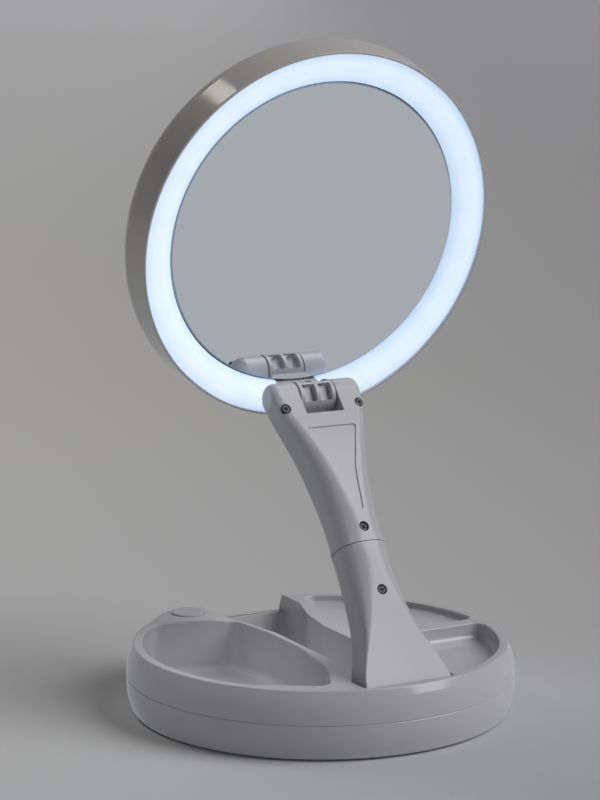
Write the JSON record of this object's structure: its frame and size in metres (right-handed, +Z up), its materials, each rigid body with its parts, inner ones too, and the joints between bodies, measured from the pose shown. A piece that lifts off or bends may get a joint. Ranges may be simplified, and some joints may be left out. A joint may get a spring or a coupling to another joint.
{
  "type": "lighted tabletop mirror",
  "caption": "Round mirror with a glowing ring on a folding arm that swivels and tilts, standing on a round base with open trays, an arm channel and a power button.",
  "frame": {"origin": "centre of the base on the surface it stands on", "axes": "+Z up, -Y towards the user in front of the mirror, +X to the user's right"},
  "size_m": [0.176, 0.176, 0.3016],
  "materials": {
    "shell_white": "satin moulded white",
    "head_white": "satin moulded white",
    "arm_white": "fine satin white",
    "inner_white": "plain moulded",
    "button_white": "smooth",
    "pad_grey": "soft",
    "steel": "zinc plated",
    "pin_steel": "turned",
    "washer_black": "acetal",
    "cell_jacket": "plain shrink film",
    "contact_nickel": "nickel plated",
    "board_green": "solder mask",
    "switch_black": "moulded",
    "ring_glow": "frosted, lit",
    "mirror_face": "polished",
    "lamp_yellow": "phosphor under lens"
  },
  "bodies": {
    "base": {"base_upper_shell": "shell_white", "base_lower_shell": "shell_white", "base_screws": "steel", "foot_pads": "pad_grey", "battery_cells": "cell_jacket", "battery_contacts": "contact_nickel", "tact_switch": "switch_black", "control_board": "board_green", "arm_hinge_pin": "pin_steel", "hinge_washers": "washer_black"},
    "battery_door": {"battery_door": "inner_white"},
    "button": {"power_button": "button_white"},
    "lower_arm": {"lower_arm_front": "arm_white", "lower_arm_rear": "arm_white", "lower_arm_screw": "steel"},
    "upper_arm": {"upper_arm_front": "arm_white", "upper_arm_rear": "arm_white", "upper_arm_screws": "steel", "swivel_spindle": "pin_steel", "swivel_ring": "steel"},
    "hinge_pin": {"tilt_hinge_pin": "pin_steel"},
    "head": {"head_bezel": "head_white", "head_back_cover": "head_white", "light_diffuser": "ring_glow", "mirror_glass": "mirror_face", "mirror_carrier": "inner_white", "led_board": "board_green", "led_lamps": "lamp_yellow", "hinge_bracket": "arm_white", "bracket_screws": "steel"}
  },
  "joints": [
    {"name": "arm_fold", "type": "hinge", "parent": "base", "child": "lower_arm", "pos_m": [0, -0.0725, 0.0219], "axis": [-1, 0, 0], "range_deg": [0, 55]},
    {"name": "neck_swivel", "type": "hinge", "parent": "lower_arm", "child": "upper_arm", "pos_m": [0, -0.03379, 0.07914], "axis": [0, 0.5686, 0.8226], "range_deg": [-180, 0]},
    {"name": "head_fold", "type": "hinge", "parent": "upper_arm", "child": "hinge_pin", "pos_m": [0, 0.00902, 0.14109], "axis": [1, 0, 0], "range_deg": [0, 130.25]},
    {"name": "head_tilt", "type": "hinge", "parent": "hinge_pin", "child": "head", "pos_m": [0, 0.00902, 0.14109], "axis": [-1, 0, 0], "range_deg": [-15, 15]},
    {"name": "button_press", "type": "slide", "parent": "base", "child": "button", "axis": [0, 0, -1], "range_m": [0, 0.0009], "stiffness_N_per_m": 800, "springref_m": -0.001},
    {"name": "door_open", "type": "hinge", "parent": "base", "child": "battery_door", "pos_m": [0.02185, 0, 0.001], "axis": [0, 1, 0], "range_deg": [0, 100]}
  ],
  "couplings": [
    {"joint": "head_fold", "follows": "arm_fold", "ratio": 2.3673}
  ]
}
